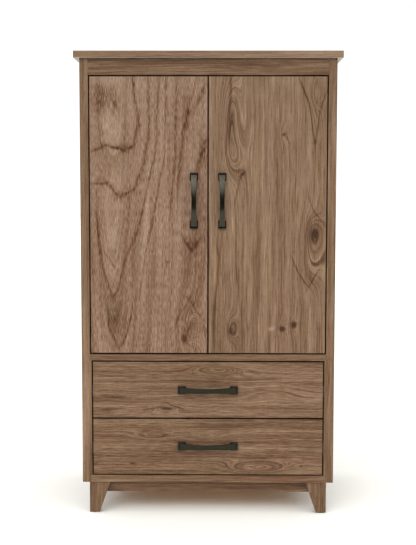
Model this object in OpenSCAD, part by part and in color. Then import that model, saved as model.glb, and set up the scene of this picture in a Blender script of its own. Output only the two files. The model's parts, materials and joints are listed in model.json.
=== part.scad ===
// Two-door armoire with two drawers on a low base of tapered legs.
// Z is up, the doors and drawers face -Y, and the origin is on the floor at the middle of
// the overall box. All lengths are millimetres.

/* [Carcass] */
// Width across the side panels
body_w = 850; // [750:10:1000]
// Depth from the door faces to the back
body_d = 520; // [460:10:600]
// Overall height
total_h = 1554; // [1450:2:1700]
// Thickness of the side panels
side_t = 28; // [24:1:32]
// Thickness of the top board
top_t = 23; // [20:1:28]
// How far the top board passes the sides
top_side_over = 19; // [8:1:30]
// How far the top board passes the doors
top_front_over = 10; // [4:1:20]
// Height of the rail under the top board
top_rail_h = 55.5; // [45:0.5:70]
// Thickness of the board between doors and drawers
divider_t = 22; // [18:1:28]
// Height of the rail under the drawers
bottom_rail_h = 24; // [20:1:40]
// Gap around the doors and drawer fronts
gap = 4.0; // [3:0.5:5]

/* [Drawers] */
// Height of one drawer front
drawer_front_h = 191.0; // [170:0.25:210]
// Height of a drawer's sides
drawer_side_h = 140; // [110:5:145]
// Length of a drawer's sides and slides
drawer_len = 430; // [350:10:430]

/* [Base] */
// Height of the legs and glides
leg_h = 107.5; // [90:0.5:130]
// Leg width at the top
leg_top_w = 70; // [56:1:80]
// Leg width at the floor
leg_foot_w = 34; // [28:1:45]
// Height of the aprons between the legs
apron_h = 40; // [25:1:50]

/* [Pulls] */
// Length of a door pull
door_pull_len = 185; // [160:1:200]
// Length of a drawer pull
drawer_pull_len = 203; // [160:1:220]
// How far the pulls stand out
pull_out = 30; // [24:1:34]
// Height of the middle of the door pulls above the floor
door_pull_z = 1063; // [900:1:1200]

/* [Hidden] */
$fn = 48;
eps = 0.5;

// main planes and levels
total_d = body_d + pull_out;
y_back = total_d / 2;
y_front = y_back - body_d;
half_w = body_w / 2;
inner_w = half_w - side_t;
z_top = total_h - top_t;
z_rail = z_top - top_rail_h;
z_lower = leg_h + bottom_rail_h + gap;
z_upper = z_lower + drawer_front_h + gap;
z_divider = z_upper + drawer_front_h + gap;
z_door = z_divider + divider_t + gap;
door_t = 18;
door_h = z_rail - gap - z_door;
door_x0 = gap / 2;
door_x1 = inner_w - gap;
board_t = 18;

// back
back_t = 5;
rebate = 10;
back_play = 0.5;
y_panel = y_back - back_t;

// rails, liners and drawers
rail_t = 22;
liner_t = 5;
liner_w = inner_w - liner_t;
front_x = liner_w - gap;
slide_w = 13;
slide_h = 35;
slide_in_h = 25;
sheet = 1.2;
box_x = liner_w - slide_w;
box_t = 12;
box_lift = 16;
groove = 6;
tray_t = 4;
tray_lift = 12;
y_box = y_front + door_t;
slide_y0 = y_box + 2;

// hinges
pin_in = 10;
pin_back = 7;
pin_r = 2.5;
pin_len = 18.5;
bush_r = 4;
bush_len = 16;
run = 0.05;
plate = [34, 12, 2];
plate_out = 9;
screw_r = 1.4;
screw_len = 14;
head_r = 2.6;
head_t = 1.2;
plate_screws = [12.5, 20.5];

// shelf and rod
shelf_t = 18;
shelf_drop = 240;
shelf_z = z_top - shelf_drop;
shelf_play = 1.5;
shelf_y0 = y_front + 40;
peg_r = 2.5;
peg_in = 10;
peg_out = 9;
peg_step = 32;
peg_rows = [y_front + 85, y_back - 65];
rod_r = 12.5;
rod_wall = 1.2;
rod_z = shelf_z - 66;
rod_y = y_back - body_d / 2 + 5;
flange_r = 22;
flange_t = 3;
cup_r = 16;
cup_len = 14;
flange_screw = 19;

// catch
catch_w = 50;
catch_back = 40;
catch_low = 16;
catch_high = 1.5;
catch_tab_t = 3;
catch_tab_h = 26;
catch_screw = [16, 14];
strike = [16, 1.2, 12];
strike_x = 12;
strike_drop = 10.5;
strike_gap = 0.5;
stud_r = 1.2;
stud_len = 9;

// dowels and bolts
dowel_r = 4;
dowel_len = 34;
dowel_in = 20;
fit_play = 0.05;
bolt_r = 3;
bolt_len = 52;
bolt_head_r = 6.5;
bolt_head_t = 3;
bolt_step = 14;

// base
glide_t = 2.5;
glide_r = 11;
glide_nail_r = 1.5;
glide_nail_len = 12;
leg_inset = 23;
leg_x = half_w - leg_inset;
leg_front_y = y_front + 5;
leg_back_y = y_back - 12;
apron_t = 18;
apron_back = 28;
apron_side_back = 12;

// pulls
pad_w = 27;
pad_t = 6;
bar_t = 7;
bar_mid_w = 16.5;
pull_screw_r = 2;
pull_screw_play = 0.2;
pull_bore = 8;
pull_head_r = 4.2;
pull_head_t = 2.4;
door_pull_x = 47;
lower_pull_lift = 3;

wood_up = [0.55, 0.44, 0.36];
wood_along = [0.51, 0.41, 0.32];
box_wood = [0.8, 0.72, 0.6];
board_brown = [0.62, 0.5, 0.38];
zinc = [0.75, 0.76, 0.78];
bronze = [0.16, 0.15, 0.13];
nylon = [0.85, 0.84, 0.8];
beech = [0.86, 0.72, 0.54];

// ---------- helpers ----------

module mirrored() {
    children();
    mirror([1, 0, 0]) children();
}

// a board given by its two faces on each axis
module board(x, y, z) {
    translate([x[0], y[0], z[0]]) cube([x[1] - x[0], y[1] - y[0], z[1] - z[0]]);
}

// cylinders along X and along Y, starting at the origin
module along_x(h, r) {
    rotate([0, 90, 0]) cylinder(h = h, r = r);
}

module along_y(h, r) {
    rotate([-90, 0, 0]) cylinder(h = h, r = r);
}

// countersunk screw pointing down, its head flush with the origin
module screw(grow = 0) {
    translate([0, 0, -head_t - grow]) cylinder(h = head_t + 2 * grow, r = head_r + grow);
    translate([0, 0, -screw_len - grow]) cylinder(h = screw_len, r = screw_r + grow);
}

// ---------- fasteners: grow = 0 is the piece, grow > 0 the hole it sits in ----------

hinge_x = door_x1 - pin_in;
hinge_y = y_front + pin_back;
z_seat = z_divider + divider_t;

// [y, z] of the dowels that run from a rail or board into a side panel
side_dowels = [
    [y_front + rail_t / 2, z_rail + top_rail_h / 2],
    [y_front + 60, z_divider + divider_t / 2],
    [y_back - 60, z_divider + divider_t / 2],
    [y_front + board_t / 2, leg_h + bottom_rail_h / 2],
    [y_front + 80, leg_h + bottom_rail_h / 2],
    [y_back - 60, leg_h + bottom_rail_h / 2]
];
top_dowels = [y_front + 60, y_front + body_d / 2, y_back - 60];

module dowels(grow = 0) {
    mirrored() {
        for (y = top_dowels)
            translate([half_w - side_t / 2, y, z_top - dowel_in - grow])
                cylinder(h = dowel_len + 2 * grow, r = dowel_r + grow);
        for (d = side_dowels)
            translate([inner_w - dowel_in - grow, d[0], d[1]])
                along_x(dowel_len + 2 * grow, dowel_r + grow);
    }
}

bolt_x = leg_x - leg_top_w / 2;
bolt_ys = [leg_front_y + leg_top_w / 2, leg_back_y - leg_top_w / 2];

module bolts(grow = 0) {
    z_head = leg_h + bottom_rail_h;
    mirrored()
        for (y = bolt_ys, s = [-1, 1])
            translate([bolt_x, y + s * bolt_step, z_head]) {
                translate([0, 0, -bolt_len - grow])
                    cylinder(h = bolt_len, r = bolt_r + grow);
                translate([0, 0, -bolt_head_t - grow])
                    cylinder(h = bolt_head_t + 2 * grow, r = bolt_head_r + grow);
            }
}

module screws(grow = 0) {
    mirrored() {
        for (d = plate_screws) {
            translate([hinge_x - d, hinge_y, z_seat]) screw(grow);
            translate([hinge_x - d, hinge_y, z_rail]) mirror([0, 0, 1]) screw(grow);
        }
        for (s = [-1, 1])
            translate([inner_w - flange_t, rod_y, rod_z + s * flange_screw])
                rotate([0, -90, 0]) screw(grow);
        translate([catch_screw[0], y_front + rail_t + catch_tab_t, z_rail + catch_screw[1]])
            rotate([-90, 0, 0]) screw(grow);
    }
}

module pivot_plate(grow = 0) {
    translate([hinge_x + plate_out - plate[0] - grow, hinge_y - plate[1] / 2 - grow, -plate[2] - grow])
        cube([plate[0] + 2 * grow, plate[1] + 2 * grow, plate[2] + 2 * grow]);
    translate([hinge_x, hinge_y, -plate[2]])
        cylinder(h = plate[2] + pin_len, r = pin_r);
}

module pivot_plates(grow = 0) {
    mirrored() {
        translate([0, 0, z_seat]) pivot_plate(grow);
        translate([0, 0, z_rail]) mirror([0, 0, 1]) pivot_plate(grow);
    }
}

module bushes(grow = 0) {
    for (z = [z_door, z_door + door_h - bush_len])
        translate([hinge_x, hinge_y, z - grow])
            cylinder(h = bush_len + 2 * grow, r = bush_r + grow);
}

module pegs(grow = 0, steps = [0]) {
    mirrored()
        for (y = peg_rows, k = steps)
            translate([inner_w, y, shelf_z - peg_r + k * peg_step])
                along_x(peg_in + grow, peg_r + grow);
}

module glide_nails(grow = 0) {
    inset = leg_foot_w / 2;
    mirrored()
        for (y = [leg_front_y + inset, leg_back_y - inset])
            translate([leg_x - inset, y, 0])
                cylinder(h = glide_t + glide_nail_len + grow, r = glide_nail_r + grow);
}

// ---------- carcass ----------

module top_board() {
    x = half_w + top_side_over;
    color(wood_along) difference() {
        board([-x, x], [y_front - top_front_over, y_back], [z_top, total_h]);
        dowels(fit_play);
    }
}

// right-hand side panel; the left is its mirror image
module side_panel() {
    difference() {
        board([inner_w, half_w], [y_front, y_back], [leg_h, z_top]);
        board([inner_w - eps, inner_w + rebate], [y_panel, y_back + eps], [leg_h - eps, z_top + eps]);
        dowels(fit_play);
        screws(fit_play);
        pegs(fit_play, [-4:4]);
    }
}

module top_rail() {
    color(wood_along) difference() {
        board([-inner_w, inner_w], [y_front, y_front + rail_t], [z_rail, z_top]);
        dowels(fit_play);
        screws(fit_play);
        pivot_plates(fit_play);
    }
}

module middle_divider() {
    color(wood_along) difference() {
        board([-inner_w, inner_w], [y_front, y_panel], [z_divider, z_seat]);
        dowels(fit_play);
        screws(fit_play);
        pivot_plates(fit_play);
    }
}

module bottom_panel() {
    color(wood_along) difference() {
        board([-inner_w, inner_w], [y_front + board_t, y_panel], [leg_h, leg_h + bottom_rail_h]);
        dowels(fit_play);
        bolts(fit_play);
    }
}

module bottom_rail() {
    color(wood_along) difference() {
        board([-inner_w, inner_w], [y_front, y_front + board_t], [leg_h, leg_h + bottom_rail_h]);
        dowels(fit_play);
    }
}

module drawer_liner() {
    board([liner_w, inner_w], [y_front, y_panel], [leg_h + bottom_rail_h, z_divider]);
}

module back_panel(z0, z1) {
    x = inner_w + rebate - back_play;
    board([-x, x], [y_panel, y_back], [z0, z1]);
}

z_back_joint = z_divider + divider_t / 2;

module adjustable_shelf() {
    x = inner_w - shelf_play;
    color(wood_along) board([-x, x], [shelf_y0, y_panel - shelf_play], [shelf_z, shelf_z + shelf_t]);
}

module shelf_pegs() {
    collar_r = 4;
    collar_t = 1;
    color(zinc) mirrored()
        for (y = peg_rows)
            translate([inner_w, y, shelf_z - peg_r]) {
                translate([-peg_out, 0, 0]) along_x(peg_out + peg_in, peg_r);
                intersection() {
                    translate([-collar_t, 0, 0]) along_x(collar_t, collar_r);
                    translate([-collar_r, -collar_r, -2 * collar_r])
                        cube([2 * collar_r, 2 * collar_r, 2 * collar_r + peg_r]);
                }
            }
}

module garment_rod() {
    x = inner_w - flange_t - 0.5;
    color(zinc) translate([-x, rod_y, rod_z])
        difference() {
            along_x(2 * x, rod_r);
            translate([-eps, 0, 0]) along_x(2 * x + 2 * eps, rod_r - rod_wall);
        }
}

module rod_sockets() {
    color(zinc) difference() {
        mirrored()
            translate([inner_w, rod_y, rod_z]) {
                translate([-flange_t, 0, 0]) along_x(flange_t, flange_r);
                translate([-flange_t - cup_len, 0, 0])
                    difference() {
                        along_x(cup_len + 0.5, cup_r);
                        translate([-eps, 0, 0]) along_x(cup_len + eps, rod_r + fit_play);
                    }
            }
        screws(fit_play);
    }
}

// double catch screwed to the back of the top rail
module magnetic_catch() {
    x = catch_w / 2;
    y_rail = y_front + rail_t;
    y_face = y_front + door_t + strike[1] + strike_gap;
    color(board_brown) difference() {
        union() {
            board([-x, x], [y_face, y_front + catch_back], [z_rail - catch_low, z_rail - catch_high]);
            board([-x, x], [y_rail, y_rail + catch_tab_t], [z_rail - catch_low, z_rail + catch_tab_h]);
        }
        screws(fit_play);
    }
}

module door_pivot_plates() {
    color(zinc) difference() {
        pivot_plates();
        screws(fit_play);
    }
}

// ---------- base ----------

// width of a leg at height z, tapering on its two inner faces
function leg_w(z) = leg_foot_w + (leg_top_w - leg_foot_w) * (z - glide_t) / (leg_h - glide_t);

// leg with its outer corner on the z axis and its inner faces towards +X and +Y
module leg_shape() {
    p = [[0, glide_t], [leg_foot_w, glide_t], [leg_top_w, leg_h], [0, leg_h]];
    intersection() {
        translate([0, leg_top_w, 0]) rotate([90, 0, 0]) linear_extrude(leg_top_w) polygon(p);
        rotate([90, 0, 90]) linear_extrude(leg_top_w) polygon(p);
    }
}

module leg(side, back) {
    difference() {
        translate([side * leg_x, back ? leg_back_y : leg_front_y, 0])
            mirror([side > 0 ? 1 : 0, 0, 0]) mirror([0, back ? 1 : 0, 0]) leg_shape();
        bolts(fit_play);
        glide_nails(fit_play);
    }
}

module apron_front() {
    low = leg_h - apron_h;
    x0 = leg_x - leg_w(low);
    x1 = leg_x - leg_w(leg_h);
    color(wood_along) translate([0, y_front + apron_back + apron_t, 0]) rotate([90, 0, 0])
        linear_extrude(apron_t) polygon([[-x0, low], [x0, low], [x1, leg_h], [-x1, leg_h]]);
}

module apron_side() {
    low = leg_h - apron_h;
    a0 = leg_front_y + leg_w(low);
    a1 = leg_front_y + leg_w(leg_h);
    b0 = leg_back_y - leg_w(low);
    b1 = leg_back_y - leg_w(leg_h);
    translate([leg_x - apron_side_back - apron_t, 0, 0]) rotate([90, 0, 90])
        linear_extrude(apron_t) polygon([[a0, low], [b0, low], [b1, leg_h], [a1, leg_h]]);
}

module floor_glides() {
    inset = leg_foot_w / 2;
    color(nylon) {
        mirrored()
            for (y = [leg_front_y + inset, leg_back_y - inset])
                translate([leg_x - inset, y, 0]) cylinder(h = glide_t, r = glide_r);
        glide_nails();
    }
}

// ---------- drawer slides ----------

// U channel of the given height, its back on the YZ plane and open towards +X
module channel(h, depth, len) {
    a = h / 2;
    b = a - sheet;
    rotate([90, 0, 0]) translate([0, 0, -len]) linear_extrude(len)
        polygon([
            [0, -a], [depth, -a], [depth, -b], [sheet, -b],
            [sheet, b], [depth, b], [depth, a], [0, a]
        ]);
}

rail_depth = 9.5;
runner_depth = 9;

function slide_z(z0) = z0 + box_lift + drawer_side_h / 2;

// left-hand rail on the liner, and left-hand runner on the drawer's side
module slide_rail(z0) {
    translate([-liner_w, slide_y0, slide_z(z0)]) channel(slide_h, rail_depth, drawer_len);
}

module slide_runner(z0) {
    translate([-box_x, slide_y0, slide_z(z0)])
        mirror([1, 0, 0]) channel(slide_in_h, runner_depth, drawer_len - 4);
}

// ---------- doors ----------

// the strike plate of the right-hand door with the stud that holds it
module strike_plate(grow = 0) {
    y0 = y_front + door_t;
    translate([strike_x, y0, z_rail - strike_drop]) {
        if (grow == 0)
            translate([-strike[0] / 2, 0, -strike[2] / 2]) cube(strike);
        translate([0, -stud_len - grow, 0]) along_y(stud_len + 0.5, stud_r + grow);
    }
}

// spacing of a pull's two screws
function screw_gap(len) = len - pad_w;

// screws through a board of door_t into a pull that lies along Z
module pull_screws(len, grow = 0, play = 0) {
    shank = door_t + pull_bore - 1;
    for (s = [-1, 1])
        translate([0, door_t, s * screw_gap(len) / 2]) {
            translate([0, -shank, 0]) along_y(shank + grow, pull_screw_r + play);
            if (grow == 0) along_y(pull_head_t, pull_head_r);
        }
}

// arched pull along Z: two pads on the wall plane and a waisted bar standing out to -Y
module pull(len) {
    half = len / 2;
    rise = pull_out - 3;
    arc_r = (half * half + rise * rise) / (2 * rise);
    waist = (pad_w - bar_mid_w) / 2;
    reach = half - pad_w;
    waist_r = (reach * reach + waist * waist) / (2 * waist);
    difference() {
        union() {
            intersection() {
                translate([-pad_w / 2, arc_r - pull_out, 0])
                    difference() {
                        along_x(pad_w, arc_r, $fn = 96);
                        translate([-eps, 0, 0]) along_x(pad_w + 2 * eps, arc_r - bar_t, $fn = 96);
                    }
                translate([-pad_w / 2, -pull_out, -half]) cube([pad_w, pull_out, len]);
            }
            for (z = [-half, half - pad_w])
                translate([-pad_w / 2, -pad_t, z]) cube([pad_w, pad_t, pad_w]);
        }
        for (s = [-1, 1])
            translate([s * (bar_mid_w / 2 + waist_r), -pull_out - eps, 0])
                intersection() {
                    along_y(pull_out + 2 * eps, waist_r, $fn = 96);
                    translate([-waist_r, 0, -reach]) cube([2 * waist_r, pull_out + 2 * eps, 2 * reach]);
                }
        for (s = [-1, 1])
            translate([0, -pull_bore, s * screw_gap(len) / 2])
                along_y(pull_bore + eps, pull_screw_r + fit_play);
    }
}

module at_door_pull() {
    translate([door_pull_x, y_front, door_pull_z]) children();
}

// right-hand door; the left is its mirror image
module door() {
    difference() {
        board([door_x0, door_x1], [y_front, y_front + door_t], [z_door, z_door + door_h]);
        bushes(fit_play);
        strike_plate(fit_play);
        at_door_pull() pull_screws(door_pull_len, eps, pull_screw_play);
    }
}

module pivot_bushes() {
    difference() {
        bushes();
        for (z = [z_door - eps, z_door + door_h - bush_len - eps])
            translate([hinge_x, hinge_y, z]) cylinder(h = bush_len + 2 * eps, r = pin_r + run);
    }
}

// ---------- drawers ----------

side_x = box_x - box_t;

function tray_z(z0) = z0 + box_lift + tray_lift;

// the groove that holds a drawer's tray, cut around its edges
module tray_groove(z0) {
    x = side_x + groove;
    board([-x, x], [y_box - groove, y_box + drawer_len + eps], [tray_z(z0) - 0.2, tray_z(z0) + tray_t + 0.2]);
}

module at_drawer_pull(z) {
    translate([0, y_front, z]) rotate([0, 90, 0]) children();
}

module drawer_front(z0, z_pull) {
    difference() {
        board([-front_x, front_x], [y_front, y_box], [z0, z0 + drawer_front_h]);
        tray_groove(z0);
        at_drawer_pull(z_pull) pull_screws(drawer_pull_len, eps, pull_screw_play);
    }
}

module drawer_side(z0) {
    z1 = z0 + box_lift;
    difference() {
        board([-box_x, -side_x], [y_box, y_box + drawer_len], [z1, z1 + drawer_side_h]);
        tray_groove(z0);
    }
}

module drawer_back(z0) {
    y1 = y_box + drawer_len;
    board([-side_x, side_x], [y1 - box_t, y1], [tray_z(z0) + tray_t, z0 + box_lift + drawer_side_h]);
}

module drawer_bottom(z0) {
    x = side_x + groove - 0.3;
    board([-x, x], [y_box - groove + 0.3, y_box + drawer_len], [tray_z(z0), tray_z(z0) + tray_t]);
}

z_pull_lower = z_lower + drawer_front_h / 2 + lower_pull_lift;
z_pull_upper = z_upper + drawer_front_h / 2;

// ---------- one module for each node ----------

module side_panel_left() {
    color(wood_up) mirror([1, 0, 0]) side_panel();
}

module side_panel_right() {
    color(wood_up) side_panel();
}

module drawer_liner_left() {
    color(wood_up) mirror([1, 0, 0]) drawer_liner();
}

module drawer_liner_right() {
    color(wood_up) drawer_liner();
}

module back_panel_upper() {
    color(board_brown) back_panel(z_back_joint + back_play / 2, z_top);
}

module back_panel_lower() {
    color(board_brown) back_panel(leg_h + 2, z_back_joint - back_play / 2);
}

module leg_front_left() {
    color(wood_up) leg(-1, false);
}

module leg_front_right() {
    color(wood_up) leg(1, false);
}

module leg_back_left() {
    color(wood_up) leg(-1, true);
}

module leg_back_right() {
    color(wood_up) leg(1, true);
}

module apron_left() {
    color(wood_along) mirror([1, 0, 0]) apron_side();
}

module apron_right() {
    color(wood_along) apron_side();
}

module carcass_dowels() {
    color(beech) dowels();
}

module leg_bolts() {
    color(zinc) bolts();
}

module hardware_screws() {
    color(zinc) screws();
}

module slide_rail_upper_left() {
    color(zinc) slide_rail(z_upper);
}

module slide_rail_upper_right() {
    color(zinc) mirror([1, 0, 0]) slide_rail(z_upper);
}

module slide_rail_lower_left() {
    color(zinc) slide_rail(z_lower);
}

module slide_rail_lower_right() {
    color(zinc) mirror([1, 0, 0]) slide_rail(z_lower);
}

module door_left() {
    color(wood_up) mirror([1, 0, 0]) door();
}

module door_pull_left() {
    color(bronze) mirror([1, 0, 0]) at_door_pull() pull(door_pull_len);
}

module door_pull_screws_left() {
    color(zinc) mirror([1, 0, 0]) at_door_pull() pull_screws(door_pull_len);
}

module pivot_bushes_left() {
    color(nylon) mirror([1, 0, 0]) pivot_bushes();
}

module strike_plate_left() {
    color(zinc) mirror([1, 0, 0]) strike_plate();
}

module door_right() {
    color(wood_up) door();
}

module door_pull_right() {
    color(bronze) at_door_pull() pull(door_pull_len);
}

module door_pull_screws_right() {
    color(zinc) at_door_pull() pull_screws(door_pull_len);
}

module pivot_bushes_right() {
    color(nylon) pivot_bushes();
}

module strike_plate_right() {
    color(zinc) strike_plate();
}

module drawer_front_upper() {
    color(wood_along) drawer_front(z_upper, z_pull_upper);
}

module drawer_side_upper_left() {
    color(box_wood) drawer_side(z_upper);
}

module drawer_side_upper_right() {
    color(box_wood) mirror([1, 0, 0]) drawer_side(z_upper);
}

module drawer_back_upper() {
    color(box_wood) drawer_back(z_upper);
}

module drawer_bottom_upper() {
    color(board_brown) drawer_bottom(z_upper);
}

module drawer_pull_upper() {
    color(bronze) at_drawer_pull(z_pull_upper) pull(drawer_pull_len);
}

module drawer_pull_screws_upper() {
    color(zinc) at_drawer_pull(z_pull_upper) pull_screws(drawer_pull_len);
}

module slide_runner_upper_left() {
    color(zinc) slide_runner(z_upper);
}

module slide_runner_upper_right() {
    color(zinc) mirror([1, 0, 0]) slide_runner(z_upper);
}

module drawer_front_lower() {
    color(wood_along) drawer_front(z_lower, z_pull_lower);
}

module drawer_side_lower_left() {
    color(box_wood) drawer_side(z_lower);
}

module drawer_side_lower_right() {
    color(box_wood) mirror([1, 0, 0]) drawer_side(z_lower);
}

module drawer_back_lower() {
    color(box_wood) drawer_back(z_lower);
}

module drawer_bottom_lower() {
    color(board_brown) drawer_bottom(z_lower);
}

module drawer_pull_lower() {
    color(bronze) at_drawer_pull(z_pull_lower) pull(drawer_pull_len);
}

module drawer_pull_screws_lower() {
    color(zinc) at_drawer_pull(z_pull_lower) pull_screws(drawer_pull_len);
}

module slide_runner_lower_left() {
    color(zinc) slide_runner(z_lower);
}

module slide_runner_lower_right() {
    color(zinc) mirror([1, 0, 0]) slide_runner(z_lower);
}

top_board();
side_panel_left();
side_panel_right();
top_rail();
middle_divider();
bottom_panel();
bottom_rail();
drawer_liner_left();
drawer_liner_right();
back_panel_upper();
back_panel_lower();
adjustable_shelf();
shelf_pegs();
garment_rod();
rod_sockets();
leg_front_left();
leg_front_right();
leg_back_left();
leg_back_right();
apron_front();
apron_left();
apron_right();
floor_glides();
carcass_dowels();
leg_bolts();
magnetic_catch();
door_pivot_plates();
hardware_screws();
slide_rail_upper_left();
slide_rail_upper_right();
slide_rail_lower_left();
slide_rail_lower_right();
door_left();
door_pull_left();
door_pull_screws_left();
pivot_bushes_left();
strike_plate_left();
door_right();
door_pull_right();
door_pull_screws_right();
pivot_bushes_right();
strike_plate_right();
drawer_front_upper();
drawer_side_upper_left();
drawer_side_upper_right();
drawer_back_upper();
drawer_bottom_upper();
drawer_pull_upper();
drawer_pull_screws_upper();
slide_runner_upper_left();
slide_runner_upper_right();
drawer_front_lower();
drawer_side_lower_left();
drawer_side_lower_right();
drawer_back_lower();
drawer_bottom_lower();
drawer_pull_lower();
drawer_pull_screws_lower();
slide_runner_lower_left();
slide_runner_lower_right();
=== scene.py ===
# %% [markdown]
# A two-door armoire with two drawers, dressed in walnut-look laminate.
# The engineering model gives every board, screw and slide its place. This lesson keeps those
# shapes, eases their edges, models the cast pulls in detail, and gives each surface a
# material built only from nodes. Lengths are metres, and millimetres where a name says so.

# %% Open the frame
import json
import math

import bmesh
import bpy
from mathutils import Matrix, Vector


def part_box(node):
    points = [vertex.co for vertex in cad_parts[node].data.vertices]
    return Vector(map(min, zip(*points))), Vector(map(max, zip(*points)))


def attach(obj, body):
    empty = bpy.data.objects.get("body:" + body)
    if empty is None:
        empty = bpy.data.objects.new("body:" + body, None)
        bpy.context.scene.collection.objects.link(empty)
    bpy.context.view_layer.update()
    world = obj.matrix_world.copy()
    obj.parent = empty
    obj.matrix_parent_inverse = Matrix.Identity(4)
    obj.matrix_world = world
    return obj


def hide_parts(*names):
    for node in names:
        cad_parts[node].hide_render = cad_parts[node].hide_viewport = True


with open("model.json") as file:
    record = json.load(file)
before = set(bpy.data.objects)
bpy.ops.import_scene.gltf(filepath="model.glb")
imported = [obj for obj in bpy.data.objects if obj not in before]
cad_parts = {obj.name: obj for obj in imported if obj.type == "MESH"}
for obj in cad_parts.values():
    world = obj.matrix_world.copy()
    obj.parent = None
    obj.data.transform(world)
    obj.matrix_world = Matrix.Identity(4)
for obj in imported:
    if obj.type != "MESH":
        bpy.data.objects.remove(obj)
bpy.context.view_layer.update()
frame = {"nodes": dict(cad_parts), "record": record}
MM = 0.001
nodes = frame["nodes"]
slot_of = {s["node"]: s["material_slot"] for s in frame["record"]["subparts"]}
door_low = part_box("door_left")[0]
FRONT = door_low[1]
print(len(nodes), "nodes; the door faces lie at y =", round(FRONT, 4))

# %% [markdown]
# ## Camera
# The armoire is seen almost square on, from about three and a half metres, at the height of
# its upper half and tipped down a little. A short telephoto keeps the sides nearly parallel.
# The camera is placed by its distance from the door faces and by the way it looks.

# %% Place the camera
CAMERA_BACK = 3.467
CAMERA_SIDE = 0.034
CAMERA_UP = 1.116
CAMERA_DOWN = math.radians(4.82)
CAMERA_TURN = math.radians(0.561)
CAMERA_ROLL = math.radians(0.067)
LENS_MM = 68.77
SENSOR_MM = 36

camera = bpy.data.objects.new("camera", bpy.data.cameras.new("camera"))
bpy.context.scene.collection.objects.link(camera)
camera.data.lens = LENS_MM
camera.data.sensor_width = SENSOR_MM
camera.location = (CAMERA_SIDE, FRONT - CAMERA_BACK, CAMERA_UP)
look = Matrix.Rotation(CAMERA_TURN, 3, "Z") @ Matrix.Rotation(math.pi / 2 - CAMERA_DOWN, 3, "X")
camera.rotation_euler = (look @ Matrix.Rotation(CAMERA_ROLL, 3, "Z")).to_euler()
bpy.context.scene.camera = camera
print("camera at", [round(v, 3) for v in camera.location])

# %% [markdown]
# ## Colour and node helpers
# Colours are picked as sRGB hex values, the way a paint chart gives them, but shaders add up
# light, so one function turns a hex value to linear. A second one adds a node to a tree, sets
# it up and links it, which keeps each material readable as a list of steps. A third starts a
# material and hands back its shader.


# %% Helpers
def linear(hex_colour):
    parts = [int(hex_colour[i:i + 2], 16) / 255 for i in (1, 3, 5)]
    return [c / 12.92 if c <= 0.04045 else ((c + 0.055) / 1.055) ** 2.4 for c in parts] + [1.0]


def add(tree, kind, inputs=None, **settings):
    made = tree.nodes.new("ShaderNode" + kind)
    for key, value in settings.items():
        setattr(made, key, value)
    for key, value in (inputs or {}).items():
        if isinstance(value, bpy.types.Node):
            value = next(o for o in value.outputs if o.enabled)
        if isinstance(value, bpy.types.NodeSocket):
            tree.links.new(value, made.inputs[key])
        else:
            made.inputs[key].default_value = value
    return made


def new_material(name):
    material = bpy.data.materials.new(name)
    material.use_nodes = True
    return material, material.node_tree, material.node_tree.nodes["Principled BSDF"]


print("mid grey #808080 is", round(linear("#808080")[0], 3), "in linear light")

# %% [markdown]
# ## Light and floor
# The armoire stands in a white studio: a plain pale floor that runs out of sight, a wide bank
# of soft lights 20 to 40 degrees up, and a slightly weaker ceiling. The level view is dark, as
# in a real studio where the camera stands, and the dark pulls need that: they mirror it.
# The sky is therefore a ramp by height, stronger in front than behind, instead of flat white.
#
# A soft sun from the front left gives the pulls their shadows. Light that reaches the floor
# under a brown cabinet has met brown wood first, so a faint warm light under the cabinet tints
# the shadow there. It costs less than the many bounces that would give the same tint.

# %% Sky, key light and floor
scene = bpy.context.scene
scene.view_settings.view_transform = "Standard"
scene.view_settings.look = "None"
world = bpy.data.worlds.new("studio")
scene.world = world
world.use_nodes = True
sky = world.node_tree
sky_way = add(sky, "TexCoord").outputs["Generated"]
# brightness from straight down (0) through level (0.5) to straight up (1)
SKY_STEPS = [
    (0.0, 0.1), (0.5, 0.06), (0.58, 0.12), (0.68, 2.0), (0.8, 2.0), (0.9, 1.6), (1.0, 1.6),
]
FRONT_GAIN = 1.5
BACK_GAIN = 0.5
SEEN_WHITE = 1.4
SKY_STRENGTH = 0.82
sky_axis = add(sky, "SeparateXYZ", {0: sky_way})
sky_height = add(sky, "MapRange", {0: sky_axis.outputs["Z"], 1: -1.0, 2: 1.0})
sky_ramp = add(sky, "ValToRGB", {0: sky_height})
while len(sky_ramp.color_ramp.elements) < len(SKY_STEPS):
    sky_ramp.color_ramp.elements.new(0.5)
for step, (place, grey) in zip(sky_ramp.color_ramp.elements, SKY_STEPS):
    step.position = place
    step.color = (grey, grey, grey, 1)
sky_front = add(sky, "MapRange", {
    0: sky_axis.outputs["Y"], 1: -1.0, 2: 1.0, 3: FRONT_GAIN, 4: BACK_GAIN,
})
sky_light = add(sky, "VectorMath", {0: sky_ramp, "Scale": sky_front}, operation="SCALE")
seen = add(sky, "LightPath").outputs["Is Camera Ray"]
shown = add(sky, "MixRGB", {0: seen, 1: sky_light, 2: [SEEN_WHITE] * 3 + [1.0]})
sky.links.new(shown.outputs[0], sky.nodes["Background"].inputs["Color"])
sky.nodes["Background"].inputs["Strength"].default_value = SKY_STRENGTH

key = bpy.data.objects.new("key_light", bpy.data.lights.new("key_light", "SUN"))
scene.collection.objects.link(key)
KEY_STRENGTH = 0.6
KEY_SPREAD = math.radians(30)
key.data.energy = KEY_STRENGTH
key.data.angle = KEY_SPREAD
key.data.color = (1.0, 0.985, 0.96)
KEY_FROM = Vector((-0.36, -1.0, 0.75))
key.rotation_euler = KEY_FROM.to_track_quat("Z", "Y").to_euler()

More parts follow.
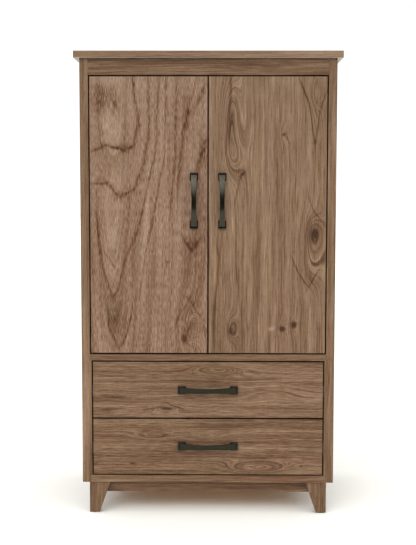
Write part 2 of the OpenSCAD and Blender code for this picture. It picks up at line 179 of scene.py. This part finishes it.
bounce = bpy.data.objects.new("warm_bounce", bpy.data.lights.new("warm_bounce", "AREA"))
scene.collection.objects.link(bounce)
bounce.data.shape = "RECTANGLE"
BOUNCE_WIDTH = 0.7
BOUNCE_DEPTH = 0.4
BOUNCE_HEIGHT = 0.1
BOUNCE_WATTS = 0.1
bounce.data.size = BOUNCE_WIDTH
bounce.data.size_y = BOUNCE_DEPTH
bounce.data.energy = BOUNCE_WATTS
bounce.data.color = (1.0, 0.52, 0.2)
bounce.location = (0, 0, BOUNCE_HEIGHT)

FLOOR_HALF = 30.0
FLOOR_FRONT = -3.4
floor_mesh = bpy.data.meshes.new("floor")
floor_mesh.from_pydata(
    [(-FLOOR_HALF, FLOOR_FRONT, 0), (FLOOR_HALF, FLOOR_FRONT, 0),
     (FLOOR_HALF, FLOOR_HALF, 0), (-FLOOR_HALF, FLOOR_HALF, 0)], [], [(0, 1, 2, 3)])
floor = bpy.data.objects.new("floor", floor_mesh)
scene.collection.objects.link(floor)
paint, tree, shader = new_material("white_painted_floor")
soft = add(tree, "TexNoise", {"Scale": 3.0, "Detail": 2.0})
floor_mix = add(tree, "MixRGB", {0: soft, 1: linear("#f5f6f0"), 2: linear("#f8f9f4")})
tree.links.new(floor_mix.outputs[0], shader.inputs["Base Color"])
shader.inputs["Roughness"].default_value = 0.7
shader.inputs["Specular IOR Level"].default_value = 0.2
floor.data.materials.append(paint)
key_up = math.degrees(math.asin(KEY_FROM.normalized().z))
print("key light", round(key_up), "degrees up; floor", 2 * FLOOR_HALF, "m")

# %% [markdown]
# ## Walnut-look laminate
# The boards are particleboard with a printed and embossed melamine face. The print copies
# flat-sawn timber: growth rings cut at a slant, which show as long nested arches, knots that
# the grain flows around, dark mineral streaks, and open pores drawn out along the grain.
#
# A wood pattern can be faked with stretched noise alone, but noise never makes an arch or a
# knot. Here the ring number is worked out as a height map over the board: a cone gives the
# arches, soft hills bend the rings round the knots, and the contour lines of that map are the
# rings. Each board has its own cone, hills and dark marks, written in millimetres on its face.
#
# A dark vein is a chain of long soft ellipses from point to point. In ring-porous wood it is
# really a row of cut vessels, so on the left door the chain is broken into short dashes.

# %% The ring map of a board
HALF_FALL = 1 / math.e
# boards sit this far apart in the noise, so no two share a print
LAYER_STEP = 37.0
# a size without end: the flat map has no third direction
FLAT = 1e6
# part of a leg's length that its ellipse reaches to each side, so that legs overlap
VEIN_REACH = 0.62


# the 2D place on a board in millimetres: across the grain, along the grain, and a layer
def board_place(tree, along, layer):
    where = add(tree, "TexCoord").outputs["Object"]
    moved = add(tree, "VectorMath", {0: where, 1: (0, -FRONT, 0)}, operation="ADD")
    axis = add(tree, "SeparateXYZ", {0: moved})
    others = [a for a in "XYZ" if a != along]
    across = add(tree, "Math", {0: axis.outputs[others[0]], 1: axis.outputs[others[1]]})
    flat = add(tree, "CombineXYZ", {0: across, 1: axis.outputs[along], 2: layer * MM})
    return add(tree, "VectorMath", {0: flat, "Scale": 1 / MM}, operation="SCALE")


# noise whose grains are `size` millimetres across and along the board, from 0 to 1
def board_noise(tree, place, size, detail=2.0):
    scaled = add(tree, "Mapping", {0: place, "Scale": (1 / size[0], 1 / size[1], 1.0)})
    return add(tree, "TexNoise", {"Vector": scaled, "Scale": 1.0, "Detail": detail})


# adds up soft ellipses: each is across, along, half width, half length, tilt and height
def soft_ellipses(tree, place, ellipses, start):
    total = start
    for across, along, half_w, half_l, tilt, height in ellipses:
        local = add(tree, "Mapping", {
            0: place, "Location": (across, along, 0),
            "Rotation": (0, 0, math.radians(tilt)), "Scale": (half_w, half_l, FLAT),
        }, vector_type="TEXTURE")
        reach = add(tree, "VectorMath", {0: local, 1: local}, operation="DOT_PRODUCT")
        fall = add(tree, "Math", {0: HALF_FALL, 1: reach.outputs["Value"]}, operation="POWER")
        total = add(tree, "Math", {0: fall, 1: height, 2: total}, operation="MULTIPLY_ADD")
    return total


# a dark line through (across, along) points, as one long soft ellipse per leg of the line
def vein(points, half_w, height):
    legs = []
    for (a0, l0), (a1, l1) in zip(points, points[1:]):
        reach = VEIN_REACH * math.hypot(a1 - a0, l1 - l0)
        tilt = math.degrees(math.atan2(a0 - a1, l1 - l0))
        legs.append(((a0 + a1) / 2, (l0 + l1) / 2, half_w, reach, tilt, height))
    return legs


print("a soft ellipse falls to", round(HALF_FALL, 3), "of its height at its half width")

# %% [markdown]
# The print has a face film of melamine resin: hard and satin, with an IOR near 1.5, a roughness
# of about a half and little gloss. The pores are pressed into it a few hundredths of a
# millimetre. Pores of the real print are about 0.3 mm wide and 5 mm long, too fine to show
# here, so they are drawn as dashes of about two millimetres by fifteen.
#
# One depth value runs from pale to dark wood. It picks a brown from two ranges, a tan one and
# a rosy one, as the colour of real walnut shifts from streak to streak. Board edges differ
# from faces: the edges of doors and drawer fronts are painted near-black, as painted shade for
# the deep gaps between them, and the top board has a grey foil below. The direction that the
# surface faces tells these places apart.

# %% The laminate
BACKING_FOIL = "#b9b4ac"
# painted shade: near-black tones laid on the edges of doors and drawer fronts so the gaps read dark
PAINTED_GAP_SHADE = ("#0c0806", "#1c140e")
EDGE_ROUGHNESS = 0.85
EDGE_TURN = 0.97
TAN = [(0.0, "#a68e71"), (0.3, "#8a7057"), (0.5, "#775d46"), (0.7, "#5c412b"), (1.0, "#362013")]
ROSY = [(0.0, "#ae9682"), (0.3, "#947a65"), (0.5, "#7e624f"), (0.7, "#65442b"), (1.0, "#3e220f")]

# the grains of each noise in millimetres, across and along the board
GRAIN_MM = {
    "drift": (70, 200), "tear": (3.2, 34), "broad": (26, 700), "streaks": (5, 260),
    "lines": (2.0, 240), "pores": (2.4, 15), "dashes": (2.4, 24), "hue": (15, 500),
}
WANDER_MM = (14, 30, 0)
MIDDLE_DEPTH = 0.44
KNOT_CONTRAST = 0.16
BROAD_WEIGHT = 0.55
LINE_WEIGHT = 0.8
PORE_WEIGHT = 0.1
PORE_MM = 0.06
TORN_RINGS = 0.3
KNOT_FROM = 0.4
KNOT_FULL = 2.5
FOIL_TURN = -0.7


def tone_ramp(tree, depth, steps):
    ramp = add(tree, "ValToRGB", {0: depth})
    while len(ramp.color_ramp.elements) < len(steps):
        ramp.color_ramp.elements.new(0.5)
    for stop, (at, tone) in zip(ramp.color_ramp.elements, steps):
        stop.position = at
        stop.color = linear(tone)
    return ramp


# slow noise bends every line of the print a little
def wander(tree, place):
    drift = board_noise(tree, place, GRAIN_MM["drift"], 2.0)
    drift_zero = add(tree, "VectorMath", {0: drift.outputs["Color"], 1: (-0.5, -0.5, -0.5)})
    return add(tree, "VectorMath", {0: drift_zero, 1: WANDER_MM, 2: place},
               operation="MULTIPLY_ADD")


# rings of the cone alone
def cone_map(tree, bent, cone):
    across, along, slope, spacing = cone
    size = (spacing, spacing / slope, FLAT)
    cone_at = add(tree, "Mapping", {0: bent, "Location": (across, along, 0), "Scale": size},
                  vector_type="TEXTURE")
    return add(tree, "VectorMath", {0: cone_at}, operation="LENGTH").outputs["Value"]


# growth rings and their strength: faint in plain wood and plain to see round a knot
def ring_bands(tree, place, rings, cone_rings, ring):
    tear = board_noise(tree, place, GRAIN_MM["tear"], 2.0)
    torn_rings = add(tree, "Math", {0: tear, 1: TORN_RINGS, 2: rings}, operation="MULTIPLY_ADD")
    saw = add(tree, "Math", {0: torn_rings}, operation="FRACT")
    band = add(tree, "Math", {0: saw, 1: 2.0}, operation="POWER")
    swell = add(tree, "Math", {0: rings, 1: cone_rings}, operation="SUBTRACT")
    near_knot = add(tree, "MapRange", {
        0: swell, 1: KNOT_FROM, 2: KNOT_FULL, 3: ring, 4: ring + KNOT_CONTRAST,
    })
    return band, near_knot


# foil below the top board, and near-black painted gap shade on the edges of doors and drawer fronts
def edge_colours(tree, colour, lines, foil, shade_edges):
    normal = add(tree, "SeparateXYZ", {0: add(tree, "TexCoord").outputs["Normal"]})
    edge = None
    if foil:
        under = add(tree, "Math", {0: normal.outputs["Z"], 1: FOIL_TURN}, operation="LESS_THAN")
        colour = add(tree, "MixRGB", {0: under, 1: colour, 2: linear(BACKING_FOIL)})
    if shade_edges:
        facing = add(tree, "Math", {0: normal.outputs["Y"]}, operation="ABSOLUTE")
        edge = add(tree, "Math", {0: facing, 1: EDGE_TURN}, operation="LESS_THAN")
        shade_streaks = add(tree, "MapRange", {0: lines, 1: 0.3, 2: 0.7})
        dark, light = [linear(tone) for tone in PAINTED_GAP_SHADE]
        # the edges take these tones as painted shade for the gaps
        edge_shade = add(tree, "MixRGB", {0: shade_streaks, 1: dark, 2: light})
        colour = add(tree, "MixRGB", {0: edge, 1: colour, 2: edge_shade})
    return colour, edge


def laminate(name, along, cone, hills=(), marks=(), veins=(), layer=0, rosy=0.5, ring=0.1,
             streak=0.7, fibre=0.65, fibre_mm=(1.6, 60), shift=0.0, foil=False, shade_edges=False):
    material, tree, shader = new_material(name)
    place = board_place(tree, along, layer * LAYER_STEP)
    bent = wander(tree, place)
    cone_rings = cone_map(tree, bent, cone)
    rings = soft_ellipses(tree, bent, hills, cone_rings)

    # unfolded: the ring map stands in for the distance across, so streaks follow the figure
    spread = add(tree, "Math", {0: rings, 1: cone[3]}, operation="MULTIPLY")
    lengthwise = add(tree, "SeparateXYZ", {0: place}).outputs["Y"]
    unfolded = add(tree, "CombineXYZ", {0: spread, 1: lengthwise, 2: layer * LAYER_STEP})

    # streaks, fine lines, fibres and pores
    broad = board_noise(tree, unfolded, GRAIN_MM["broad"], 2.0)
    streaks = board_noise(tree, unfolded, GRAIN_MM["streaks"], 3.0)
    lines = board_noise(tree, unfolded, GRAIN_MM["lines"], 2.0)
    fibres = board_noise(tree, place, fibre_mm, 3.0)
    pore_noise = board_noise(tree, place, GRAIN_MM["pores"], 1.0)
    pores = add(tree, "MapRange", {0: pore_noise, 1: 0.55, 2: 0.7})

    # one depth value: 0 is the palest wood and 1 the darkest
    band, near_knot = ring_bands(tree, place, rings, cone_rings, ring)
    depth = add(tree, "Math", {0: band, 1: near_knot, 2: MIDDLE_DEPTH + shift},
                operation="MULTIPLY_ADD")
    weights = ((broad, BROAD_WEIGHT), (streaks, streak), (lines, LINE_WEIGHT * streak),
               (fibres, fibre))
    for part, weight in weights:
        centred = add(tree, "Math", {0: part, 1: 0.5}, operation="SUBTRACT")
        depth = add(tree, "Math", {0: centred, 1: weight, 2: depth}, operation="MULTIPLY_ADD")
    depth = add(tree, "Math", {0: pores, 1: PORE_WEIGHT, 2: depth}, operation="MULTIPLY_ADD")
    torn = add(tree, "Math", {0: lines, 1: 1.6, 2: 0.2}, operation="MULTIPLY_ADD")
    dark = soft_ellipses(tree, bent, marks, 0.0)
    depth = add(tree, "Math", {0: dark, 1: torn, 2: depth}, operation="MULTIPLY_ADD")

    # veins are rows of short dashes
    if veins:
        dash_noise = board_noise(tree, place, GRAIN_MM["dashes"], 1.5)
        dashes = add(tree, "MapRange", {0: dash_noise, 1: 0.4, 2: 0.6, 3: 0.3, 4: 1.2})
        line_mask = soft_ellipses(tree, bent, veins, 0.0)
        depth = add(tree, "Math", {0: line_mask, 1: dashes, 2: depth}, operation="MULTIPLY_ADD")

    # two ranges of brown, rosy and tan, alternate from streak to streak
    hue_noise = board_noise(tree, unfolded, GRAIN_MM["hue"], 2.0)
    hue = add(tree, "MapRange", {0: hue_noise, 1: 0.72 - 0.5 * rosy, 2: 0.92 - 0.5 * rosy})
    tan = tone_ramp(tree, depth, TAN)
    colour = add(tree, "MixRGB", {0: hue, 1: tan, 2: tone_ramp(tree, depth, ROSY)})
    colour, edge = edge_colours(tree, colour, lines, foil, shade_edges)
    tree.links.new(colour.outputs[0], shader.inputs["Base Color"])

    rough = add(tree, "Math", {0: fibres, 1: 0.16, 2: 0.44}, operation="MULTIPLY_ADD")
    if shade_edges:
        rough = add(tree, "MapRange", {0: edge, 3: rough, 4: EDGE_ROUGHNESS})
    tree.links.new(rough.outputs[0], shader.inputs["Roughness"])
    shader.inputs["IOR"].default_value = 1.5
    shader.inputs["Specular IOR Level"].default_value = 0.25
    pressed = add(tree, "Math", {0: pores, 1: -1.0}, operation="MULTIPLY")
    bump = add(tree, "Bump", {"Height": pressed, "Distance": PORE_MM * MM, "Strength": 0.6})
    tree.links.new(bump.outputs[0], shader.inputs["Normal"])
    return material


# %% [markdown]
# ## Which figure is on which board
# The left door has the boldest print: wide arches that point down, with a ragged dark edge, a
# spear-shaped patch at the lower left and a swirling knot at the lower right. The right door
# is finer and straighter, with a ringed knot and a long dark V. The drawers carry the same
# print turned on its side. Other boards get straight grain, each from its own part of the map.

# %% Figure of the left door
# dark lines: points across and along the door, half width, and how dark
arch_lines = [
    ([(-250, 1470), (-233, 1330), (-246, 1250), (-280, 1228), (-337, 1247),
      (-388, 1230)], 4.8, 0.48),
    ([(-198, 1470), (-196, 1296), (-214, 1178), (-247, 1105), (-294, 1072), (-338, 1120),
      (-388, 1117)], 4.8, 0.43),
    ([(-161, 1470), (-175, 1231), (-206, 1085), (-233, 966), (-274, 872), (-304, 765)], 3.9, 0.36),
    ([(-304, 765), (-322, 742), (-348, 832), (-362, 930), (-374, 1010)], 4.2, 0.34),
    ([(-138, 1470), (-147, 1198), (-179, 1032), (-200, 926), (-230, 740)], 3.6, 0.31),
    ([(-105, 1470), (-112, 1165), (-128, 980)], 3.9, 0.31),
    ([(-38, 1470), (-85, 1263), (-101, 1090)], 5.9, 0.34),
    ([(-4, 1450), (-56, 1340)], 7.8, 0.31),
    ([(-4, 1270), (-36, 1170)], 7.8, 0.46),
    ([(-337, 700), (-333, 643), (-300, 562), (-276, 603), (-255, 700)], 3.7, 0.41),
    ([(-352, 905), (-312, 842), (-290, 900)], 3.2, 0.26),
    ([(-110, 640), (-104, 664), (-67, 735), (-20, 670), (-10, 620)], 3.2, 0.26),
    ([(-82, 936), (-54, 893), (-26, 936)], 4.2, 0.48),
]
left_door_print = laminate(
    "walnut_laminate_left_door", "Z", cone=(-318, 2100, 0.05, 17), layer=1, rosy=1.0,
    ring=0.0, streak=0.42, fibre=1.2, fibre_mm=(1.7, 22), shade_edges=True,
    hills=[(-345, 1165, 34, 60, 0, 1.0), (-62, 650, 36, 80, 0, 3.6), (-72, 602, 14, 26, 0, 1.6)],
    veins=[leg for points, half_w, height in arch_lines for leg in vein(points, half_w, height)] + [
        (-350, 1388, 34, 36, 0, 0.42), (-306, 1378, 14, 50, 0, 0.34), (-350, 1425, 30, 20, 0, 0.2),
        (-72, 1350, 22, 100, 12, 0.2), (-14, 1225, 10, 60, 12, 0.25), (-112, 1260, 8, 150, 0, 0.14),
        (-296, 1084, 24, 16, 0, 0.22), (-290, 1240, 40, 12, 0, 0.2),
    ],
    marks=[
        (-78, 599, 8, 13, 10, 0.6), (-66, 632, 9, 20, -15, 0.2), (-137, 859, 6, 5, 0, 0.3),
        (-53, 915, 13, 24, 0, 0.25), (-300, 648, 27, 60, 0, 0.2), (-54, 800, 30, 150, 0, 0.1),
        # the two broadest ellipses make the door paler at the top and darker towards the bottom
        (-200, 1450, 900, 300, 0, -0.05), (-200, 580, 900, 300, 0, 0.08),
    ])
print(len(arch_lines), "dashed lines on the left door")

# %% Figure of the right door
right_lines = [
    ([(301, 1470), (334, 1368), (353, 1262)], 2.6, 0.42),
    ([(392, 1430), (368, 1350), (355, 1262)], 2.4, 0.26),
    ([(278, 872), (300, 830), (338, 777), (374, 836)], 2.4, 0.34),
    ([(24, 930), (36, 866), (18, 620)], 3.6, 0.26),
    ([(94, 1010), (93, 865), (106, 731)], 2.4, 0.22),
    ([(122, 1156), (104, 1130), (88, 1040)], 2.6, 0.3),
    ([(74, 1470), (73, 1400), (68, 1300)], 4.0, 0.26),
    ([(332, 1080), (352, 1030), (376, 1000)], 2.0, 0.26),
    ([(254, 1290), (272, 1240), (268, 1180)], 2.2, 0.22),
]
right_door_print = laminate(
    "walnut_laminate_right_door", "Z", cone=(-420, 1900, 0.04, 17), layer=2, rosy=0.45,
    ring=0.04, streak=0.6, fibre=0.85, shade_edges=True,
    hills=[
        (72, 1320, 30, 140, 0, 4.5), (84, 1200, 40, 70, 0, 2.4), (350, 955, 34, 62, 0, 4.8),
        (342, 860, 40, 80, 0, 3.2), (77, 630, 20, 50, 0, 2.4), (248, 633, 14, 30, 0, 1.6),
        (288, 650, 13, 28, 0, 1.3), (352, 1420, 26, 70, 0, 2.5), (250, 1281, 14, 30, 0, 1.2),
    ],
    marks=[
        (353, 948, 15, 22, -8, 0.45), (356, 950, 6, 9, 0, 0.4), (350, 950, 28, 44, 0, 0.14),
        (70, 1290, 12, 60, 0, 0.2),
        (250, 1280, 7, 5, 30, 0.5), (355, 1262, 5, 8, 0, 0.3), (113, 1147, 8, 4, 30, 0.4),
        (77, 624, 8, 12, 0, 0.4), (248, 634, 9, 9, 0, 0.85), (288, 650, 8, 10, 0, 0.75),
        (211, 637, 10, 6, 0, -0.3), (215, 640, 3, 60, 0, -0.1), (190, 900, 12, 300, 0, -0.1),
        # the broadest ellipse makes the door darker towards the bottom
        (200, 580, 900, 350, 0, 0.08),
    ] + [leg for points, half_w, height in right_lines for leg in vein(points, half_w, height)])
print(len(right_lines), "dark lines on the right door")

# %% Figures of the drawers
upper_drawer_print = laminate(
    "walnut_laminate_upper_drawer", "X", cone=(700, 500, 0.05, 17), layer=3, rosy=0.4, ring=0.06,
    streak=0.62, fibre=0.95, fibre_mm=(1.6, 40), shift=0.1, shade_edges=True,
    hills=[(497, 34, 16, 75, 0, 4.5), (364, -140, 12, 45, 0, 2.0), (420, 200, 20, 120, 0, 1.5)],
    marks=[
        (365, -143, 4, 22, 6, 0.55), (361, -205, 5, 30, 0, 0.25), (401, -310, 3, 30, 0, 0.3),
        (358, -335, 4, 45, -4, 0.25), (487, 148, 3, 26, 12, 0.25), (462, 0, 16, 90, 0, 0.08),
        (372, -120, 2, 26, 20, 0.35),
    ])
lower_drawer_print = laminate(
    "walnut_laminate_lower_drawer", "X", cone=(-120, -700, 0.05, 17), layer=4, rosy=0.4, ring=0.06,
    streak=0.62, fibre=0.95, fibre_mm=(1.6, 40), shift=0.14, shade_edges=True,
    hills=[(158, 170, 18, 85, 0, 4.5), (268, -184, 15, 60, 0, 2.5), (262, -10, 18, 80, 0, 1.6)],
    marks=[
        (171, -256, 3, 9, 0, 0.5), (165, 311, 3, 6, 0, 0.4), (268, -150, 2.5, 40, 0, 0.25),
        (300, 40, 14, 80, 0, 0.1), (170, -385, 3, 10, 0, 0.3),
    ])
print("drawer prints ready")

# %% Straight-grained boards
# board, grain direction, material, foil below, and how much darker than the middle
STRAIGHT = [
    ("top", "X", "walnut_laminate_top", True, -0.03),
    # painted shade: the rails are printed darker for the shade under the top board's overhang, and
    # the middle and bottom rails share that print
    ("rails", "X", "walnut_laminate_rails", False, 0.15),
    ("left_side", "Z", "walnut_laminate_left_side", False, 0.05),
    ("right_side", "Z", "walnut_laminate_right_side", False, 0.1),
    ("legs", "Z", "walnut_laminate_legs", False, 0.18),
    # painted shade: the front apron sits back under the cabinet and is printed darker for the shade
    # there
    ("front_apron", "X", "walnut_laminate_front_apron", False, 0.2),
    ("side_aprons", "Y", "walnut_laminate_side_aprons", False, 0.02),
    ("shelves", "X", "walnut_laminate_shelves", False, 0.0),
]
CONE_FIRST = -900
CONE_STEP = -60
FIRST_LAYER = 10
straight_print = {}
for count, (board, along, name, foil, shift) in enumerate(STRAIGHT):
    straight_print[board] = laminate(
        name, along, cone=(CONE_FIRST + CONE_STEP * count, 2600, 0.06, 17),
        layer=FIRST_LAYER + count, rosy=0.4, ring=0.06, streak=0.6, shift=shift, foil=foil)
print(len(straight_print), "straight prints")

# %% [markdown]
# ## Metals, nylon and plain boards
# The unseen parts have quiet finishes: bright zinc on pressed steel, satin chrome on the rod,
# moulded nylon, brown hardboard and pale drawer board. None of them is one flat colour. A single
# recipe serves them all: two tones blended by a noise whose grain is that of the real process,
# a roughness that follows the same noise, and on the nylon, beech and boards a faint bump.


# %% A two-tone finish
def two_tone(name, dark, light, grain_mm, rough, metallic=0.0, bump_mm=0.0, detail=3.0):
    material, tree, shader = new_material(name)
    where = add(tree, "TexCoord").outputs["Object"]
    per_metre = [1 / (g * MM) for g in grain_mm]
    scaled = add(tree, "Mapping", {0: where, "Scale": per_metre})
    grain = add(tree, "TexNoise", {"Vector": scaled, "Scale": 1.0, "Detail": detail})
    clear = add(tree, "MapRange", {0: grain, 1: 0.3, 2: 0.7})
    tone = add(tree, "MixRGB", {0: clear, 1: linear(dark), 2: linear(light)})
    tree.links.new(tone.outputs[0], shader.inputs["Base Color"])
    sheen = add(tree, "MapRange", {0: grain, 1: 0.3, 2: 0.7, 3: rough[0], 4: rough[1]})
    tree.links.new(sheen.outputs[0], shader.inputs["Roughness"])
    shader.inputs["Metallic"].default_value = metallic
    if bump_mm:
        bump = add(tree, "Bump", {"Height": grain, "Distance": bump_mm * MM, "Strength": 0.5})
        tree.links.new(bump.outputs[0], shader.inputs["Normal"])
    return material


finish = {
    "slide_steel": two_tone(
        "zinc_plated_sheet", "#9da1a3", "#b7babb", (9, 14, 5), (0.3, 0.42), 1.0),
    "zinc_steel": two_tone(
        "bright_zinc", "#a5a8aa", "#c0c2c2", (1.5, 1.5, 1.5), (0.24, 0.38), 1.0),
    "rod_chrome": two_tone(
        "satin_chromed_tube", "#a9abac", "#b7b8b8", (60, 2, 2), (0.24, 0.34), 1.0),
    "black_nylon": two_tone(
        "moulded_nylon", "#1b1b1c", "#242425", (0.8, 0.8, 0.8), (0.45, 0.6), 0.0, 0.03),
    "dowel_beech": two_tone(
        "dry_beech", "#c69f73", "#d9b68b", (1.5, 1.5, 8), (0.6, 0.75), 0.0, 0.05),
    "back_board": two_tone(
        "brown_hardboard", "#6c4f39", "#86674d", (14, 14, 14), (0.55, 0.8), 0.0, 0.04, 5.0),
    "drawer_board": two_tone(
        "pale_drawer_board", "#b49c7f", "#c7b194", (40, 3, 3), (0.45, 0.6), 0.0, 0.02, 4.0),
}
# the pivot pins show in the gaps round the doors, so they are made near-black as painted shade for
# the gaps
gap_shade_steel = two_tone("gap_shade_steel", "#1b1a18", "#2a2826", (3, 3, 3), (0.5, 0.65), 0.8)
print(len(finish) + 1, "plain finishes")

# %% [markdown]
# The pulls are cast zinc, brushed along their length and then lacquered dark bronze. The fine
# brush lines stretch each highlight and break it into strands, so the noise is drawn out along
# the pull. Bronze lacquer holds metal flake, so the shader is mostly metallic and very dark.

# %% Bronze lacquer
LACQUER_ROUGH = (0.14, 0.24)
LACQUER_METAL = 0.92
BRUSH_BUMP_MM = 0.02
bronze = {
    "Z": two_tone("dark_bronze_lacquer_upright", "#312f28", "#444138", (1.6, 1.6, 70),
                  LACQUER_ROUGH, LACQUER_METAL, BRUSH_BUMP_MM),
    # painted shade: the level copy is a darker tone of the same lacquer, so the drawer pulls read
    # darker
    "X": two_tone("dark_bronze_lacquer_level", "#26241d", "#35322a", (70, 1.6, 1.6),
                  LACQUER_ROUGH, LACQUER_METAL, BRUSH_BUMP_MM),
}
finish["dark_bronze"] = bronze["Z"]
print(len(bronze), "bronze lacquers, brushed along the pull")

# %% [markdown]
# ## Dress the boards
# Each CAD board already has the right shape, with its real dowel and screw holes, so it stays
# and only gets its print. Real edges are eased by about a millimetre before the edge band goes
# on, and that small round is what catches the light along every joint. A bevel modifier adds
# it to the model's own mesh. The weld and dissolve modifiers come first: they join the mesh's
# triangles into flat faces, as a bevel goes astray on a face that is cut up. For the same
# reason the bevel doesn't slide along the edges it meets, which keeps its width even.

# %% Print and eased edges
PRINT_OF = {
    "top_board": straight_print["top"], "top_rail": straight_print["rails"],
    "middle_divider": straight_print["rails"], "bottom_rail": straight_print["rails"],
    "bottom_panel": straight_print["shelves"], "adjustable_shelf": straight_print["shelves"],
    "side_panel_left": straight_print["left_side"],
    "side_panel_right": straight_print["right_side"],
    "drawer_liner_left": straight_print["left_side"],
    "drawer_liner_right": straight_print["right_side"],
    "apron_front": straight_print["front_apron"], "apron_left": straight_print["side_aprons"],
    "apron_right": straight_print["side_aprons"],
    "leg_front_left": straight_print["legs"], "leg_front_right": straight_print["legs"],
    "leg_back_left": straight_print["legs"], "leg_back_right": straight_print["legs"],
    "door_left": left_door_print, "door_right": right_door_print,
    "drawer_front_upper": upper_drawer_print, "drawer_front_lower": lower_drawer_print,
}
# the pivot plates take the near-black steel as painted shade in the door gaps
FINISH_OF = {"door_pivot_plates": gap_shade_steel}
EASE_MM = 0.8
JOIN_MM = 0.01
FLAT_WITHIN = math.radians(1)
SHARP_FROM = math.radians(50)


def ease_edges(piece, ease_mm):
    weld = piece.modifiers.new("join_triangles", "WELD")
    weld.merge_threshold = JOIN_MM * MM
    flat = piece.modifiers.new("join_flat_faces", "DECIMATE")
    flat.decimate_type = "DISSOLVE"
    flat.angle_limit = FLAT_WITHIN
    bevel = piece.modifiers.new("eased_edges", "BEVEL")
    bevel.width = ease_mm * MM
    bevel.segments = 2
    bevel.use_clamp_overlap = False
    bevel.loop_slide = False
    bevel.limit_method = "ANGLE"
    bevel.angle_limit = SHARP_FROM
    piece.modifiers.new("even_shading", "WEIGHTED_NORMAL")


for name, piece in nodes.items():
    material = PRINT_OF.get(name) or FINISH_OF.get(name) or finish[slot_of[name]]
    piece.data.materials.clear()
    piece.data.materials.append(material)
    if name in PRINT_OF:
        ease_edges(piece, EASE_MM)
print(len(PRINT_OF), "boards eased by", EASE_MM, "mm")

# %% [markdown]
# ## Cast pulls
# Each pull is one casting: two square pads against the wood, and a strap that bows out between
# them, widest at the pads and narrowest at the middle. The strap is lofted: a rounded outline
# is carried along an arc and stretched at each step. Hundreds of small quads follow the
# arc smoothly, which a bevelled block would not. The pads are blocks with rounded corners that
# the strap's ends sink into.

# %% Outline and loft
STRAP_STEPS = 48
STRAP_T = 7.0
STRAP_SET_IN = 5.0
STRAP_MID_W = 15.5
STRAP_END_W = 22.0
PAD_W = 27.0
PAD_T = 10.5
STRAP_CORNER = 1.6
STRAP_FLARE = 1.6
PAD_CORNER = 2.0
# how a pad steps in at its rim: inset and height above the wood
PAD_STEPS = ((0, 0), (0, PAD_T - 1.2), (0.35, PAD_T - 0.35), (1.2, PAD_T))


# points round a rectangle with rounded corners, in millimetres
def rounded_outline(half_w, half_t, corner, arc_steps=4):
    points = []
    for quarter, (sx, sy) in enumerate(((1, 1), (-1, 1), (-1, -1), (1, -1))):
        for k in range(arc_steps + 1):
            a = math.pi / 2 * (quarter + k / arc_steps)
            points.append((sx * (half_w - corner) + corner * math.cos(a),
                           sy * (half_t - corner) + corner * math.sin(a)))
    return points


# the strap as rings of (across, out, along) points, ending inside the pads
def strap_rings(length, out):
    chord = length / 2 - STRAP_SET_IN
    rise = out - PAD_T
    radius = (chord * chord + rise * rise) / (2 * rise)
    end_angle = math.asin(chord / radius)
    rings = []
    for k in range(STRAP_STEPS + 1):
        s = -1 + 2 * k / STRAP_STEPS
        angle = s * end_angle
        width = STRAP_MID_W + (STRAP_END_W - STRAP_MID_W) * abs(s) ** STRAP_FLARE
        ring = []
        for across, thick in rounded_outline(width / 2, STRAP_T / 2, STRAP_CORNER):
            r = radius - STRAP_T / 2 + thick
            ring.append((across, r * math.cos(angle) - (radius - out), r * math.sin(angle)))
        rings.append(ring)
    first = [(a, max(o - PAD_T + 1, 1), l) for a, o, l in rings[0]]
    last = [(a, max(o - PAD_T + 1, 1), l) for a, o, l in rings[-1]]
    return [first] + rings + [last]


# a pad as rings that step in at its outer rim
def pad_rings(middle):
    rings = []
    for inset, out in PAD_STEPS:
        half = PAD_W / 2 - inset
        outline = rounded_outline(half, half, PAD_CORNER - inset)
        rings.append([(a, out, middle + l) for a, l in outline])
    return rings


print("a strap has", STRAP_STEPS * 20, "quads")


# %% Build the pulls
def loft(mesh, rings):
    loops = [[mesh.verts.new(p) for p in ring] for ring in rings]
    for a, b in zip(loops, loops[1:]):
        for k in range(len(a)):
            mesh.faces.new((a[k], a[k - 1], b[k - 1], b[k]))
    mesh.faces.new(loops[0])
    mesh.faces.new(list(reversed(loops[-1])))


def cast_pull(node, body, along):
    low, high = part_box(node)
    axis = "XYZ".index(along)
    across_axis = 2 - axis
    centre = [(low[i] + high[i]) / 2 for i in range(3)]
    length = (high[axis] - low[axis]) / MM
    mesh = bmesh.new()
    loft(mesh, strap_rings(length, (high[1] - low[1]) / MM))
    for side in (-1, 1):
        loft(mesh, pad_rings(side * (length - PAD_W) / 2))
    for vert in mesh.verts:
        across, outward, length_wise = vert.co
        place = [0.0, 0.0, 0.0]
        place[across_axis] = centre[across_axis] + across * MM
        place[1] = high[1] - outward * MM
        place[axis] = centre[axis] + length_wise * MM
        vert.co = place
    bmesh.ops.recalc_face_normals(mesh, faces=mesh.faces)
    data = bpy.data.meshes.new(node + "_cast")
    mesh.to_mesh(data)
    mesh.free()
    data.polygons.foreach_set("use_smooth", [True] * len(data.polygons))
    data.materials.append(bronze[along])
    pull = bpy.data.objects.new(node + "_cast", data)
    scene.collection.objects.link(pull)
    pull.modifiers.new("even_shading", "WEIGHTED_NORMAL")
    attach(pull, body)
    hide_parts(node)
    return pull


PULLS = [
    ("door_pull_left", "door_left", "Z"), ("door_pull_right", "door_right", "Z"),
    ("drawer_pull_upper", "drawer_upper", "X"), ("drawer_pull_lower", "drawer_lower", "X"),
]
for node, body, along in PULLS:
    pull = cast_pull(node, body, along)
    print(pull.name, len(pull.data.polygons), "faces")
